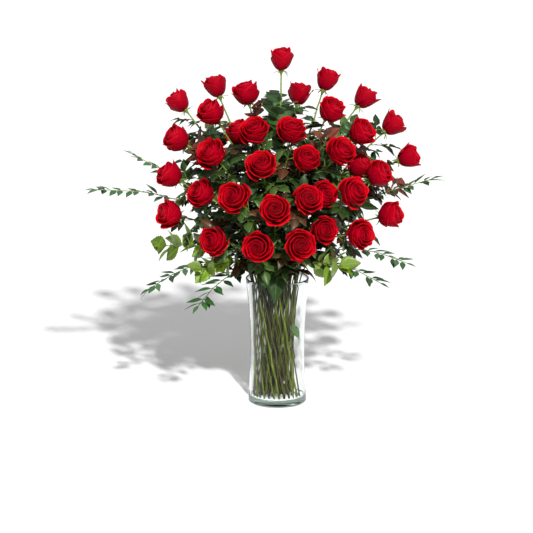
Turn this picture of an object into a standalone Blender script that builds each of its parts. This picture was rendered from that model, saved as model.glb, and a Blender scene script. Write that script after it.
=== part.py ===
"""Roses in a clear glass vase, with ruscus, green leaf sprays and bronze leaf shoots.

Metres, +Z up. The origin is the centre of the vase's foot, on the surface it stands on, and the
bouquet faces -Y. Every rose and spray is cut at the foot, stands on the vase's inner floor, crosses
the others at the waist and fans out of the mouth. A cut stem and what grew on it are one piece.
"""
import math

import bmesh
import bpy
import numpy as np
from mathutils import Vector
from mathutils.bvhtree import BVHTree

# The vase: a waisted cylinder of clear glass with a thick floor.
VASE_HEIGHT = 0.270
RIM_RADIUS = 0.067
WAIST_RADIUS = 0.057
WAIST_HEIGHT = 0.115
FOOT_RADIUS = 0.063
WALL = 0.004
FLOOR = 0.016
FOOT_EDGE = 0.007
INNER_EDGE = 0.004
TURN_STEPS = 32

# The bouquet: how far the rose heads reach sideways, front to back and above the rim.
HALF_WIDTH = 0.280
HALF_DEPTH = 0.200
CROWN_HEIGHT = 0.460
FACE_CENTRE_BACK = 0.120        # heads turn away from a point this far behind the vase's axis

# Stems.
ROSE_STEM_RADIUS = 0.0026
SPRAY_STEM_RADIUS = 0.0015
STEM_GAP = 0.0008               # free space kept between any two plants
TOUCH_GAP = 0.0003              # a stem's cut end above the vase floor
TWIST = math.radians(55.0)      # how far a ring of stems turns between the floor and the mouth
RINGS_AT_FLOOR = (0.010, 0.023, 0.034, 0.0515)
RINGS_AT_MOUTH = (0.012, 0.027, 0.042, 0.056)
RING_SHARES = (0.08, 0.20, 0.32, 0.40)
RING_GAPS = (0.0, 0.0, 0.0, math.radians(90.0))     # stretch of each ring that is left free of stems
OPEN_SIDE = 0.0                 # the gap faces +X halfway up the vase
SECTIONS_IN_VASE = 3
SECTIONS_ABOVE = 4
ELBOW_ROOM = 0.007              # free space round the leafy end of a spray
LOOSENING_PASSES = 400

# Rose heads: radius and height, and the outline as (share of height, share of radius).
HEADS = {
    "bud": (0.0235, 0.050, ((0.07, 0.22), (0.26, 0.74), (0.52, 1.00), (0.84, 0.88), (1.00, 0.50))),
    "half": (0.0285, 0.052, ((0.06, 0.20), (0.24, 0.66), (0.56, 1.00), (0.86, 0.92), (1.00, 0.55))),
    "open": (0.0335, 0.050, ((0.06, 0.17), (0.26, 0.62), (0.60, 1.00), (0.84, 0.94), (1.00, 0.55))),
}

# Each rose: head, then where its head is across, forward and up as shares of the bouquet's
# half-width, half-depth and crown height, and how far it nods outward (0 follows the stem).
ROSES = (
    ("bud", 0.03, -0.10, 1.00, 0.00),
    ("bud", 0.37, -0.40, 0.88, 0.10),
    ("bud", -0.46, -0.40, 0.85, 0.05),
    ("half", -0.23, -0.20, 0.84, 0.10),
    ("bud", 0.16, -0.45, 0.81, 0.05),
    ("bud", 0.65, -0.50, 0.79, 0.20),
    ("bud", -0.74, -0.50, 0.77, 0.20),
    ("half", -0.49, 0.15, 0.78, 0.28),
    ("half", 0.40, 0.15, 0.79, 0.28),
    ("bud", 0.86, -0.45, 0.67, 0.20),
    ("half", 0.62, 0.15, 0.69, 0.35),
    ("half", -0.75, 0.05, 0.65, 0.35),
    ("half", -0.28, -0.15, 0.66, 0.20),
    ("open", -0.17, 0.42, 0.72, 0.30),
    ("open", 0.10, 0.40, 0.72, 0.22),
    ("open", -0.49, 0.47, 0.62, 0.34),
    ("open", 0.47, 0.47, 0.63, 0.34),
    ("half", 0.21, 0.55, 0.60, 0.36),
    ("bud", 0.98, -0.30, 0.53, 0.50),
    ("open", -0.12, 0.72, 0.59, 0.36),
    ("half", -0.80, 0.15, 0.49, 0.30),
    ("half", 0.75, 0.20, 0.50, 0.30),
    ("half", -0.56, 0.50, 0.44, 0.42),
    ("open", -0.32, 0.88, 0.46, 0.46),
    ("open", 0.22, 0.88, 0.45, 0.42),
    ("open", 0.52, 0.65, 0.46, 0.40),
    ("open", -0.02, 1.07, 0.42, 0.46),
    ("half", -0.80, 0.25, 0.32, 0.50),
    ("half", 0.84, 0.20, 0.31, 0.50),
    ("half", 0.36, 0.52, 0.43, 0.50),
    ("open", -0.47, 0.70, 0.24, 0.68),
    ("open", -0.14, 1.00, 0.24, 0.66),
    ("open", 0.17, 0.97, 0.25, 0.66),
    ("half", 0.34, 0.70, 0.29, 0.70),
    ("open", 0.61, 0.60, 0.26, 0.66),
    ("half", 0.61, -0.15, 0.51, 0.30),
)

# Sprays by kind: leafy length, leaf roots, leaves at a root, leaf length, width and its roll.
SPRAY_KINDS = {
    "ruscus": (0.170, 5, 2, 0.034, 0.009, 0.0),
    "leaf": (0.120, 5, 1, 0.050, 0.030, 90.0),
    "bronze": (0.100, 5, 1, 0.038, 0.022, 90.0),
}
LEAF_THICKNESS = 0.0010
LEAF_ROOT_LENGTH = 0.0030       # stretch of stem that a leaf stalk grows from
LEAF_ANGLE = math.radians(50.0)
STALK_SHARE = 0.20              # the stalk's share of a leaf's length
GOLDEN_TURN = math.radians(137.5)

# Each spray: kind, then its tip across, forward and up in the same shares, its nod, and its sag.
SPRAYS = (
    ("ruscus", -1.35, 0.00, 0.41, 0.80, 0.10),
    ("ruscus", -1.07, -0.10, 0.56, 0.30, 0.00),
    ("ruscus", 1.16, -0.10, 0.45, 0.50, 0.00),
    ("ruscus", -0.95, 0.30, -0.02, 0.70, 0.60),
    ("ruscus", -0.58, 0.75, -0.05, 0.60, 0.70),
    ("ruscus", 0.95, 0.30, 0.10, 0.70, 0.45),
    ("ruscus", 0.75, 0.60, 0.04, 0.60, 0.60),
    ("ruscus", -0.70, -0.95, 0.40, 0.60, 0.00),
    ("ruscus", 0.66, -1.00, 0.30, 0.60, 0.15),
    ("leaf", -0.84, 0.32, 0.18, 0.60, 0.10),
    ("leaf", -0.56, 0.62, 0.10, 0.60, 0.15),
    ("leaf", 0.47, 0.68, 0.12, 0.60, 0.10),
    ("leaf", 0.02, 0.05, 0.82, 0.00, 0.00),
    ("leaf", 0.00, -0.75, 0.72, 0.20, 0.00),
    ("leaf", -0.45, -0.88, 0.56, 0.30, 0.00),
    ("leaf", 0.48, -0.88, 0.54, 0.30, 0.00),
    ("leaf", -0.52, -0.85, 0.18, 0.50, 0.10),
    ("leaf", 0.50, -0.90, 0.20, 0.50, 0.10),
    ("bronze", -0.16, 0.00, 0.80, 0.00, 0.00),
    ("bronze", 0.37, 0.25, 0.68, 0.20, 0.00),
    ("bronze", -0.62, 0.18, 0.62, 0.30, 0.00),
    ("bronze", 0.93, -0.05, 0.42, 0.50, 0.00),
)

MATERIALS = {
    "glass": ((0.86, 0.95, 0.92, 1.0), 0.03, 0.0),
    "rose": ((0.62, 0.01, 0.03, 1.0), 0.55, 0.0),
    "ruscus": ((0.05, 0.16, 0.06, 1.0), 0.45, 0.0),
    "leaf": ((0.09, 0.22, 0.04, 1.0), 0.45, 0.0),
    "bronze": ((0.22, 0.06, 0.03, 1.0), 0.45, 0.0),
}


def clear_scene():
    for thing in list(bpy.data.objects):
        bpy.data.objects.remove(thing, do_unlink=True)


def new_collection(name):
    group = bpy.data.collections.new(name)
    bpy.context.scene.collection.children.link(group)
    return group


def new_material(name, colour, roughness, metallic):
    material = bpy.data.materials.new(name)
    material.use_nodes = True
    shader = material.node_tree.nodes["Principled BSDF"]
    shader.inputs["Base Color"].default_value = colour
    shader.inputs["Roughness"].default_value = roughness
    shader.inputs["Metallic"].default_value = metallic
    material.diffuse_color = colour
    return material


# ---------------------------------------------------------------- the vase

def outer_radius(height):
    """The vase's outside at a height: a parabola up from the waist and another down from it."""
    if height >= WAIST_HEIGHT:
        share = (height - WAIST_HEIGHT) / (VASE_HEIGHT - WAIST_HEIGHT)
        return WAIST_RADIUS + (RIM_RADIUS - WAIST_RADIUS) * share ** 2
    share = (WAIST_HEIGHT - height) / WAIST_HEIGHT
    return WAIST_RADIUS + (FOOT_RADIUS - WAIST_RADIUS) * share ** 2


def inner_radius(height):
    return outer_radius(height) - WALL


def vase_profile():
    """From the middle of the inner floor up the inside, over the rim, and down the outside."""
    inner_top = VASE_HEIGHT - WALL / 2
    inner_bottom = FLOOR + INNER_EDGE
    outer_bottom = FOOT_EDGE
    points = [(0.0, FLOOR), (inner_radius(FLOOR) - INNER_EDGE, FLOOR)]
    corner = (inner_radius(inner_bottom) - INNER_EDGE * 0.3, FLOOR + INNER_EDGE * 0.3)
    points.append(corner)
    wall_steps = 6
    for step in range(wall_steps + 1):
        height = inner_bottom + (inner_top - inner_bottom) * step / wall_steps
        points.append((inner_radius(height), height))
    points.append((RIM_RADIUS - WALL / 2, VASE_HEIGHT))
    for step in range(wall_steps + 1):
        height = inner_top + (outer_bottom - inner_top) * step / wall_steps
        points.append((outer_radius(height), height))
    points.append((FOOT_RADIUS - FOOT_EDGE * 0.3, FOOT_EDGE * 0.3))
    points.append((FOOT_RADIUS - FOOT_EDGE, 0.0))
    points.append((0.0, 0.0))
    return points


def build_vase(group, material):
    profile = vase_profile()
    mesh = bpy.data.meshes.new("vase")
    edges = [(i, i + 1) for i in range(len(profile) - 1)]
    mesh.from_pydata([(radius, 0.0, height) for radius, height in profile], edges, [])
    vase = bpy.data.objects.new("vase", mesh)
    vase.data.materials.append(material)
    turn = vase.modifiers.new("turn", "SCREW")
    turn.steps = TURN_STEPS
    turn.render_steps = TURN_STEPS
    turn.use_merge_vertices = True
    turn.merge_threshold = 0.0001
    turn.use_smooth_shade = True
    group.objects.link(vase)
    return vase


# ---------------------------------------------------------------- where every plant runs

def unit(vector):
    return vector / np.linalg.norm(vector)


def mouth_centre():
    return np.array([0.0, 0.0, VASE_HEIGHT])


def in_bouquet(across, forward, up):
    """A point of the bouquet from its shares of half-width, half-depth and crown height."""
    return mouth_centre() + np.array([across * HALF_WIDTH, -forward * HALF_DEPTH, up * CROWN_HEIGHT])


def facing(place, nod, sag=0.0):
    """The way a head or tip points: along its stem, bent outward by nod and down by sag."""
    outward = unit(np.array([place[0], place[1] - FACE_CENTRE_BACK, 0.0]))
    return unit(unit(place - mouth_centre()) * (1.0 - nod) + outward * nod - np.array([0.0, 0.0, sag]))


def ring_sizes(count):
    """How many plants stand in each ring, from the steepest plants' ring to the widest's."""
    sizes = [round(share * count) for share in RING_SHARES]
    sizes[-1] += count - sum(sizes)
    return sizes


def around(place):
    return math.atan2(place[1], place[0]) % math.tau


def steepness(place):
    return math.hypot(place[0], place[1]) / max(place[2] - VASE_HEIGHT * 0.5, 0.01)


def slot_angles(azimuths, gap, gap_centre):
    """Evenly spaced slots round a ring, clear of its gap, or turned to suit the plants if it has none."""
    size = len(azimuths)
    first = gap_centre + gap / 2
    angles = [first + (slot + 0.5) * (math.tau - gap) / size for slot in range(size)]
    if gap > 0.0:
        return angles
    drift = math.asin(np.mean([math.sin(a - b) for a, b in zip(azimuths, angles)]))
    return [angle + drift for angle in angles]


def stem_ends(places):
    """Each plant's foot and mouth point. Rings of stems turn opposite ways, so they criss-cross."""
    order = sorted(range(len(places)), key=lambda i: steepness(places[i]))
    ends = {}
    start = 0
    for ring, size in enumerate(ring_sizes(len(places))):
        turn = TWIST if ring % 2 else -TWIST
        gap_centre = OPEN_SIDE - turn / 2
        members = sorted(order[start:start + size], key=lambda i: (around(places[i]) - gap_centre) % math.tau)
        start += size
        angles = slot_angles([around(places[i]) for i in members], RING_GAPS[ring], gap_centre)
        for member, at_mouth in zip(members, angles):
            at_foot = at_mouth + turn
            radius = RINGS_AT_FLOOR[ring]
            foot = np.array([radius * math.cos(at_foot), radius * math.sin(at_foot), FLOOR + TOUCH_GAP])
            radius = RINGS_AT_MOUTH[ring]
            mouth = np.array([radius * math.cos(at_mouth), radius * math.sin(at_mouth), VASE_HEIGHT])
            ends[member] = (foot, mouth)
    return [ends[i] for i in range(len(places))]


def bezier(start, pull_start, pull_end, end, t):
    s = 1.0 - t
    return s ** 3 * start + 3 * s * s * t * pull_start + 3 * s * t * t * pull_end + t ** 3 * end


def stem_route(foot, mouth, tip, direction):
    """Straight through the vase, then one smooth bend that arrives along the direction."""
    points = [foot + (mouth - foot) * step / SECTIONS_IN_VASE for step in range(SECTIONS_IN_VASE)]
    reach = 0.35 * np.linalg.norm(tip - mouth)
    leave = mouth + unit(mouth - foot) * reach
    arrive = tip - direction * reach
    steps = range(SECTIONS_ABOVE + 1)
    return points + [bezier(mouth, leave, arrive, tip, step / SECTIONS_ABOVE) for step in steps]


class Plant:
    """One cut stem: its route, the radius at each point, and where its stiff end begins."""

    def __init__(self, name, kind, points, radii, stiff_from):
        self.name = name
        self.kind = kind
        self.points = np.array(points)
        self.radii = np.array(radii)
        self.stiff_from = stiff_from


def rose_plant(name, row, ends):
    kind, across, forward, up, nod = row
    radius, height, outline = HEADS[kind]
    centre = in_bouquet(across, forward, up)
    direction = facing(centre, nod)
    neck = centre - direction * height / 2
    points = stem_route(ends[0], ends[1], neck, direction)
    radii = [ROSE_STEM_RADIUS] * len(points)
    stiff_from = len(points) - 1
    for height_share, radius_share in outline:
        points.append(neck + direction * height * height_share)
        radii.append(max(radius * radius_share, ROSE_STEM_RADIUS))
    return Plant(name, kind, points, radii, stiff_from)


def spray_plant(name, row, ends):
    kind, across, forward, up, nod, sag = row
    tip = in_bouquet(across, forward, up)
    points = stem_route(ends[0], ends[1], tip, facing(tip, nod, sag))
    return Plant(name, kind, points, [SPRAY_STEM_RADIUS] * len(points), len(points) - 1)


def spread_plants(plants):
    """Lets plants push each other aside until each pair is a gap apart, as stems do in a vase.

    Each stretch between two points is a rod with a radius at either end. Where two rods come too
    close, their points move apart. A stem gives way easily, a head or tip moves as one piece and
    gives way little, cut ends stay on the floor, and nothing leaves through the glass.
    """
    first, owner, start = [], [], 0
    for number, plant in enumerate(plants):
        size = len(plant.points)
        first += range(start, start + size - 1)
        owner += [number] * (size - 1)
        start += size
    first, owner = np.array(first), np.array(owner)
    points = np.concatenate([plant.points for plant in plants])
    radii = np.concatenate([plant.radii + plant_room(plant) for plant in plants])
    give = np.concatenate([ease(plant) for plant in plants])
    left, right = np.triu_indices(len(first), 1)
    apart = owner[left] != owner[right]
    left, right = first[left[apart]], first[right[apart]]
    for _ in range(LOOSENING_PASSES):
        moves, count = pushes(points, radii, give, left, right)
        if count == 0:
            break
        points += moves
        start = 0
        for plant in plants:
            stop = start + len(plant.points)
            settle(points[start:stop], plant, moves[start:stop])
            start = stop
    start = 0
    for plant in plants:
        stop = start + len(plant.points)
        plant.points = points[start:stop]
        lift_cut_end(plant)
        start = stop


def lift_cut_end(plant):
    """Raises a slanting stem's foot until the low edge of its square cut clears the floor."""
    first, second = plant.points[0], plant.points[1]
    lean = math.hypot(second[0] - first[0], second[1] - first[1]) / np.linalg.norm(second - first)
    first[2] = FLOOR + TOUCH_GAP + plant.radii[0] * lean


def plant_room(plant):
    """Half the gap everywhere, and elbow room for leaves along a spray's upper end."""
    room = np.full(len(plant.points), STEM_GAP / 2)
    if plant.kind in SPRAY_KINDS:
        room[-2:] += ELBOW_ROOM
    return room


def ease(plant):
    """How readily each point gives way: stems fully, heads and tips a little."""
    give = np.ones(len(plant.points))
    give[plant.stiff_from:] = 0.15
    return give


def pushes(points, radii, give, left, right):
    """The move of every point away from the rods it is too close to, and how many such pairs."""
    a, b = points[left], points[right]
    u, v, w = points[left + 1] - a, points[right + 1] - b, a - b
    uu, uv, vv = (u * u).sum(1), (u * v).sum(1), (v * v).sum(1)
    uw, vw = (u * w).sum(1), (v * w).sum(1)
    s = np.clip((uv * vw - vv * uw) / np.maximum(uu * vv - uv * uv, 1e-12), 0, 1)
    t = np.clip((uv * s + vw) / vv, 0, 1)
    s = np.clip((uv * t - uw) / uu, 0, 1)
    between = (a + s[:, None] * u) - (b + t[:, None] * v)
    distance = np.maximum(np.linalg.norm(between, axis=1), 1e-6)
    need = radii[left] * (1 - s) + radii[left + 1] * s + radii[right] * (1 - t) + radii[right + 1] * t
    close = distance < need
    moves = np.zeros_like(points)
    weight = np.zeros(len(points))
    if not close.any():
        return moves, 0
    left, right, s, t = left[close], right[close], s[close], t[close]
    way = between[close] / distance[close, None]
    short = (need - distance)[close] * 1.02
    give_left = give[left] * (1 - s) + give[left + 1] * s
    give_right = give[right] * (1 - t) + give[right + 1] * t
    total = give_left + give_right
    for index, share, sign, easy in (
        (left, 1 - s, 1, give_left), (left + 1, s, 1, give_left),
        (right, 1 - t, -1, give_right), (right + 1, t, -1, give_right),
    ):
        step = sign * short * easy / total * share / np.maximum(s * s + (1 - s) ** 2, 0.5)
        np.add.at(moves, index, way * step[:, None])
        np.add.at(weight, index, share)
    return moves / np.maximum(weight, 1.0)[:, None], int(close.sum())


def settle(points, plant, moves):
    """Keeps the head in one piece, the cut end on the floor and the stem inside the glass."""
    stiff = plant.stiff_from
    points[stiff:] += moves[stiff:].mean(axis=0) - moves[stiff:]
    points[0, 2] = FLOOR + TOUCH_GAP
    for point in points[:SECTIONS_IN_VASE + 1]:
        room = inner_radius(min(point[2], VASE_HEIGHT)) - plant.radii[0] - 2 * STEM_GAP
        if point[2] < FLOOR + INNER_EDGE:
            room -= INNER_EDGE
        reach = math.hypot(point[0], point[1])
        if reach > room:
            point[:2] *= room / reach


# ---------------------------------------------------------------- roses

def build_rose(group, plant, material):
    """Stem, calyx and head as one swept tube whose radius follows the outline."""
    curve = bpy.data.curves.new(plant.name, "CURVE")
    curve.dimensions = "3D"
    curve.bevel_depth = 1.0
    curve.bevel_resolution = 2
    curve.use_fill_caps = True
    line = curve.splines.new("POLY")
    line.points.add(len(plant.points) - 1)
    for control, point, radius in zip(line.points, plant.points, plant.radii):
        control.co = (*point, 1.0)
        control.radius = radius
    rose = bpy.data.objects.new(plant.name, curve)
    rose.data.materials.append(material)
    group.objects.link(rose)
    return rose


# ---------------------------------------------------------------- sprays

def along(points, distance_from_end):
    """The place and direction on a route, at a distance back from its end."""
    for after, before in zip(points[::-1], points[-2::-1]):
        length = np.linalg.norm(after - before)
        if distance_from_end <= length:
            return after + (before - after) * distance_from_end / length, unit(after - before)
        distance_from_end -= length
    return points[0], unit(points[1] - points[0])


def leaf_roots(plant):
    """The place and direction of the stem where leaves grow, from the lowest to the last."""
    leafy, roots = SPRAY_KINDS[plant.kind][:2]
    spacing = leafy / roots
    distances = [leafy - spacing * (number + 0.4) for number in range(roots)]
    return [along(plant.points, distance) for distance in distances]


def spray_route(plant, roots):
    """The stem's route, with a short straight stretch at each leaf root."""
    leafy = SPRAY_KINDS[plant.kind][0]
    lengths = np.linalg.norm(np.diff(plant.points, axis=0), axis=1)
    to_end = np.append(np.cumsum(lengths[::-1])[::-1], 0.0)
    route = [point for point, left in zip(plant.points, to_end) if left > leafy]
    for place, direction in roots:
        half = direction * LEAF_ROOT_LENGTH / 2
        route += [place - half, place + half]
    route.append(plant.points[-1])
    return route


def stem_mesh(name, route, radius):
    """A square stem as a mesh, swept from a curve, with its caps welded."""
    curve = bpy.data.curves.new(name, "CURVE")
    curve.dimensions = "3D"
    curve.bevel_depth = radius
    curve.bevel_resolution = 0
    curve.use_fill_caps = True
    line = curve.splines.new("POLY")
    line.points.add(len(route) - 1)
    for control, point in zip(line.points, route):
        control.co = (*point, 1.0)
    guide = bpy.data.objects.new(name + "_guide", curve)
    bpy.context.scene.collection.objects.link(guide)
    depsgraph = bpy.context.evaluated_depsgraph_get()
    mesh = bpy.data.meshes.new_from_object(guide.evaluated_get(depsgraph))
    bpy.data.objects.remove(guide, do_unlink=True)
    mesh.name = name
    shape = bmesh.new()
    shape.from_mesh(mesh)
    bmesh.ops.remove_doubles(shape, verts=shape.verts, dist=0.00005)
    return mesh, shape


def leaf_sections(root, way, wide, length, width, stalk_from=0.0, grow=0.0):
    """A leaf's cross-sections as (centre, half-width, half-thickness), from its stalk to its tip."""
    half = LEAF_THICKNESS / 2 + grow
    stalk = length * STALK_SHARE
    middle = stalk + (length - stalk) * 0.42
    droop = np.cross(way, wide) * length * 0.04
    return (
        (root + way * stalk_from, 0.0010 + grow, half),
        (root + way * stalk, 0.0011 + grow, half),
        (root + way * middle + droop, width / 2 + grow, half),
        (root + way * (length + grow) - droop, 0.0008 + grow, half * 0.9),
    )


def section_corners(section, wide, thick):
    centre, half_width, half_thick = section
    signs = ((-1, -1), (1, -1), (1, 1), (-1, 1))
    return [Vector(centre + wide * half_width * i + thick * half_thick * j) for i, j in signs]


def leaf_guard(sections, wide, thick):
    """A slightly grown copy of a leaf, to test against everything already in place."""
    corners, faces = [], []
    for section in sections:
        base = len(corners)
        corners += section_corners(section, wide, thick)
        if base:
            for k in range(4):
                n = (k + 1) % 4
                faces.append((base - 4 + k, base - 4 + n, base + n, base + k))
    faces += [(0, 3, 2, 1), tuple(len(corners) - 4 + k for k in range(4))]
    return corners, faces


def leaf_axes(direction, side, angle, roll):
    """A leaf's own axes: the way it grows, across its blade, and through its blade."""
    way = unit(direction * math.cos(angle) + side * math.sin(angle))
    wide = unit(direction - way * np.dot(direction, way))
    thick = np.cross(way, wide)
    wide, thick = (
        wide * math.cos(roll) + thick * math.sin(roll),
        thick * math.cos(roll) - wide * math.sin(roll),
    )
    return way, wide, thick


def leaf_tries(kind):
    """Ways to hold a leaf: full size as it grows first, then turned, raised or smaller."""
    roll = math.radians(SPRAY_KINDS[kind][5])
    for size in (1.0, 0.8, 0.6):
        for angle_step in (0.0, 0.3, -0.3, 0.55):
            for roll_step in (0.0, 0.35, -0.35, 0.6, -0.6):
                yield size, LEAF_ANGLE + angle_step, roll + roll_step


def in_face_order(face, centre, corners):
    """A section's corners, started from the one that suits the face's own first corner."""
    middle = face.calc_center_median()
    offsets = [(vert.co - middle).normalized() for vert in face.verts]
    targets = [(corner - Vector(centre)).normalized() for corner in corners]
    fit = [sum(a.dot(targets[(i + turn) % 4]) for i, a in enumerate(offsets)) for turn in range(4)]
    best = fit.index(max(fit))
    return [corners[(i + best) % 4] for i in range(4)]


def grow_leaf(shape, direction, place, sections, way, wide, thick):
    """Draws a leaf out of the stem's side face that looks its way, section by section."""
    at_root = LEAF_ROOT_LENGTH
    near = [f for f in shape.faces if (f.calc_center_median() - Vector(place)).length < at_root]
    sides = [f for f in near if abs(f.normal.dot(Vector(direction))) < 0.3 and len(f.verts) == 4]
    if not sides:
        return False
    face = max(sides, key=lambda f: f.normal.dot(Vector(way)))
    for section in sections[1:]:
        face = bmesh.ops.extrude_discrete_faces(shape, faces=[face])["faces"][0]
        corners = in_face_order(face, section[0], section_corners(section, wide, thick))
        for vert, corner in zip(face.verts, corners):
            vert.co = corner
        shape.normal_update()
    return True


def build_sprays(group, plants, materials, obstacles):
    """Every spray's stem first, then leaf after leaf wherever it has room among the rest."""
    shapes = []
    for plant in plants:
        roots = leaf_roots(plant)
        mesh, shape = stem_mesh(plant.name, spray_route(plant, roots), SPRAY_STEM_RADIUS)
        obstacles.append(BVHTree.FromBMesh(shape))
        shapes.append((plant, roots, mesh, shape))
    for plant, roots, mesh, shape in shapes:
        _, _, per_root, length, width, _ = SPRAY_KINDS[plant.kind]
        across = unit(np.cross(roots[0][1], np.array([0.0, 0.0, 1.0])))
        for number, (place, direction) in enumerate(roots):
            side = unit(np.cross(direction, np.cross(across, direction)))
            lift = np.cross(direction, side)
            for leaf in range(per_root):
                if per_root == 1:
                    turn = GOLDEN_TURN * number
                else:
                    turn = math.pi * leaf
                grows = side * math.cos(turn) + lift * math.sin(turn)
                add_leaf(shape, plant.kind, place, direction, grows, length, width, obstacles)
        shape.to_mesh(mesh)
        shape.free()
        spray = bpy.data.objects.new(plant.name, mesh)
        spray.data.materials.append(materials[plant.kind])
        group.objects.link(spray)


def add_leaf(shape, kind, place, direction, grows, length, width, obstacles):
    for size, angle, roll in leaf_tries(kind):
        way, wide, thick = leaf_axes(direction, grows, angle, roll)
        start = SPRAY_STEM_RADIUS + STEM_GAP
        guard = leaf_guard(
            leaf_sections(place, way, wide, length * size, width * size, start, STEM_GAP / 2), wide, thick
        )
        tree = BVHTree.FromPolygons(*guard)
        if any(tree.overlap(obstacle) for obstacle in obstacles):
            continue
        sections = leaf_sections(place, way, wide, length * size, width * size)
        if grow_leaf(shape, direction, place, sections, way, wide, thick):
            obstacles.append(tree)
        return


# ---------------------------------------------------------------- everything

def lay_out_plants():
    places = [in_bouquet(*row[1:4]) for row in ROSES + SPRAYS]
    ends = stem_ends(places)
    plants = []
    for number, row in enumerate(ROSES):
        plants.append(rose_plant(f"rose_{number + 1:02d}", row, ends[number]))
    counts = {}
    for number, row in enumerate(SPRAYS):
        counts[row[0]] = counts.get(row[0], 0) + 1
        name = f"{row[0]}_spray_{counts[row[0]]}"
        plants.append(spray_plant(name, row, ends[len(ROSES) + number]))
    spread_plants(plants)
    return plants


def build():
    clear_scene()
    group = new_collection("roses_in_a_vase")
    materials = {name: new_material(name, *values) for name, values in MATERIALS.items()}
    plants = lay_out_plants()
    vase = build_vase(group, materials["glass"])
    roses = [build_rose(group, plant, materials["rose"]) for plant in plants if plant.kind in HEADS]
    depsgraph = bpy.context.evaluated_depsgraph_get()
    obstacles = []
    for thing in [vase] + roses:
        mesh = bpy.data.meshes.new_from_object(thing.evaluated_get(depsgraph))
        corners = [vert.co.copy() for vert in mesh.vertices]
        faces = [tuple(face.vertices) for face in mesh.polygons]
        obstacles.append(BVHTree.FromPolygons(corners, faces))
        bpy.data.meshes.remove(mesh)
    sprays = [plant for plant in plants if plant.kind in SPRAY_KINDS]
    build_sprays(group, sprays, materials, obstacles)


build()
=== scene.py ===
"""The looks of the roses in a vase: petals, leaves, stems and glass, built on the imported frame."""

import heapq
import math

import bpy
import numpy as np
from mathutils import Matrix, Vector


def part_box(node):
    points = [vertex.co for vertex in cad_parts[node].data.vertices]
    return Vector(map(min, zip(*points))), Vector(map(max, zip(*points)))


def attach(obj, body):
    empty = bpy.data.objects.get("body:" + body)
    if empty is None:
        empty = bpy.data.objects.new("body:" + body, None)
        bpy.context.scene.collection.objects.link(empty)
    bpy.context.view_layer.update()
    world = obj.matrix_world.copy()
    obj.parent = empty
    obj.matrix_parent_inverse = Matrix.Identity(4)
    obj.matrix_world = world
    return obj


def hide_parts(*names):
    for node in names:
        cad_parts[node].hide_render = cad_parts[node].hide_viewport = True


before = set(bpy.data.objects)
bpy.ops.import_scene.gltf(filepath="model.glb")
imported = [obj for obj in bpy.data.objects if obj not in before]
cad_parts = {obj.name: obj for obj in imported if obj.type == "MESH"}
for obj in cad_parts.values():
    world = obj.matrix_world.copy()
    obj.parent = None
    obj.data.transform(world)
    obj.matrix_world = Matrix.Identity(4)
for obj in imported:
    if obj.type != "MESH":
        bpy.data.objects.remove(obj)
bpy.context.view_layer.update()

UP = np.array([0.0, 0.0, 1.0])
GOLDEN_TURN = math.radians(137.508)
RIM_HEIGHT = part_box("vase")[1].z

# Where each kind of piece's random draws start; each piece adds its own number.
ROSE_SEED = 1000
SPRAY_SEED = 2000
ROSE_LEAF_SEED = 3000

# What tells the parts of a CAD mesh apart.
SAME_CORNER = 2e-6              # corners that round to the same step of this size are one
PLATE_EDGE = 0.0014             # only the CAD leaf plates have edges this short
ROSE_RING_GAP = 0.004           # a rose's rings of corners are farther apart than this
SPRAY_RING_GAP = 0.0012
HEAD_RINGS = 5                  # rings of a CAD rose that make its head; the rest are its stem
CALYX_SHARE = 0.06              # the calyx ring's height as a share of its head's
MIDDLE_SHARE = 0.55             # a head's middle, as a share of its height
BUD_SLIMNESS = 1.85             # a head's height over its radius: above this it is a bud,
HALF_OPEN_SLIMNESS = 1.58       # and above this half open

# Petals, in shares of a head's radius and height. Each stage is (share of the way from the centre
# to the outermost petal, then base, belly, shoulder and lip as (radius, height) points of a Bezier
# curve, then half the angle that the petal wraps round in degrees, its top's width beside its
# widest, and how far its side edges roll back).
HEAD_STAGES = {
    "bud": (
        (0.00, (0.02, 0.30), (0.18, 0.55), (0.14, 0.86), (0.06, 0.97), 170, 0.75, 0.00),
        (0.35, (0.05, 0.16), (0.50, 0.30), (0.50, 0.80), (0.44, 1.02), 105, 0.60, 0.05),
        (0.70, (0.08, 0.10), (0.72, 0.10), (0.94, 0.72), (0.90, 1.03), 76, 0.42, 0.35),
        (1.00, (0.10, 0.07), (0.78, 0.02), (1.04, 0.70), (1.20, 0.95), 62, 0.24, 0.85),
    ),
    "half": (
        (0.00, (0.02, 0.30), (0.18, 0.55), (0.14, 0.82), (0.04, 0.93), 180, 0.75, 0.00),
        (0.35, (0.04, 0.16), (0.48, 0.36), (0.42, 0.78), (0.36, 0.99), 110, 0.72, 0.06),
        (0.70, (0.07, 0.08), (0.90, 0.14), (0.80, 0.74), (0.78, 0.95), 76, 0.62, 0.25),
        (1.00, (0.10, 0.04), (0.86, -0.02), (1.00, 0.66), (1.12, 0.76), 58, 0.30, 0.90),
    ),
    "open": (
        (0.00, (0.02, 0.30), (0.15, 0.55), (0.12, 0.76), (0.03, 0.86), 190, 0.75, 0.00),
        (0.25, (0.04, 0.16), (0.34, 0.36), (0.30, 0.78), (0.26, 0.95), 120, 0.74, 0.04),
        (0.55, (0.06, 0.08), (0.66, 0.18), (0.58, 0.80), (0.58, 0.97), 84, 0.66, 0.16),
        (0.80, (0.08, 0.04), (0.84, 0.04), (0.71, 0.72), (0.86, 0.84), 66, 0.46, 0.60),
        (1.00, (0.10, 0.02), (0.90, -0.02), (0.81, 0.50), (1.00, 0.54), 56, 0.26, 1.00),
    ),
}
PETAL_COUNTS = {"bud": 16, "half": 24, "open": 32}
PETAL_ROWS = 9
PETAL_COLUMNS = 9
PETAL_THICKNESS = 0.0005
PETAL_SKEW = 0.15               # how far to one side a petal's point may stand
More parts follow.
